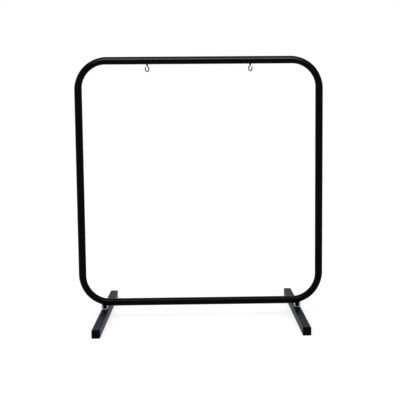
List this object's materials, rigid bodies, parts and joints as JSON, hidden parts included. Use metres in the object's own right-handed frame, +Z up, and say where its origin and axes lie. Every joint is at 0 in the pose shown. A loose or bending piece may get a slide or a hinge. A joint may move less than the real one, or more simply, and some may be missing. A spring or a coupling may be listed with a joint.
{
  "type": "gong stand",
  "caption": "Free-standing gong stand: a round-cornered loop of black tube on swivelling square feet, with hooks under its top rail.",
  "frame": {"origin": "on the floor, at the middle of the box round the stand", "axes": "+X to the player's right, +Y away from the player, +Z up; the loop stands in a plane at y = -0.017"},
  "size_m": [1.1, 0.79, 1.164],
  "materials": {
    "black_powder_coat": "semi-gloss black powder coat on steel",
    "black_plastic": "satin black moulded polyethylene",
    "black_steel": "black oxide, lightly oiled",
    "bright_zinc": "bright zinc plate"
  },
  "bodies": {
    "frame": {"loop_frame": "black_powder_coat", "left_tapped_boss": "black_powder_coat", "left_saddle_bracket": "bright_zinc", "left_foot_bolt": "black_steel", "left_flat_washer": "bright_zinc", "left_spring_washer": "bright_zinc", "left_hook_insert": "black_steel", "left_hook_lock_nut": "black_steel", "right_tapped_boss": "black_powder_coat", "right_saddle_bracket": "bright_zinc", "right_foot_bolt": "black_steel", "right_flat_washer": "bright_zinc", "right_spring_washer": "bright_zinc", "right_hook_insert": "black_steel", "right_hook_lock_nut": "black_steel"},
    "left_foot": {"left_foot_tube": "black_powder_coat", "left_front_plug": "black_plastic", "left_rear_plug": "black_plastic"},
    "right_foot": {"right_foot_tube": "black_powder_coat", "right_front_plug": "black_plastic", "right_rear_plug": "black_plastic"},
    "left_hook": {"left_hook": "black_steel"},
    "right_hook": {"right_hook": "black_steel"}
  },
  "joints": [
    {"name": "left_foot_swivel", "type": "hinge", "parent": "frame", "child": "left_foot", "pos_m": [-0.437, -0.017, 0.035], "axis": [0, 0, 1], "range_deg": [-90, 90]},
    {"name": "right_foot_swivel", "type": "hinge", "parent": "frame", "child": "right_foot", "pos_m": [0.437, -0.017, 0.035], "axis": [0, 0, -1], "range_deg": [-90, 90]},
    {"name": "left_hook_turn", "type": "hinge", "parent": "frame", "child": "left_hook", "pos_m": [-0.2275, -0.017, 1.1303], "axis": [0, 0, 1], "range_deg": [-90, 90]},
    {"name": "right_hook_turn", "type": "hinge", "parent": "frame", "child": "right_hook", "pos_m": [0.2275, -0.017, 1.1303], "axis": [0, 0, -1], "range_deg": [-90, 90]}
  ]
}
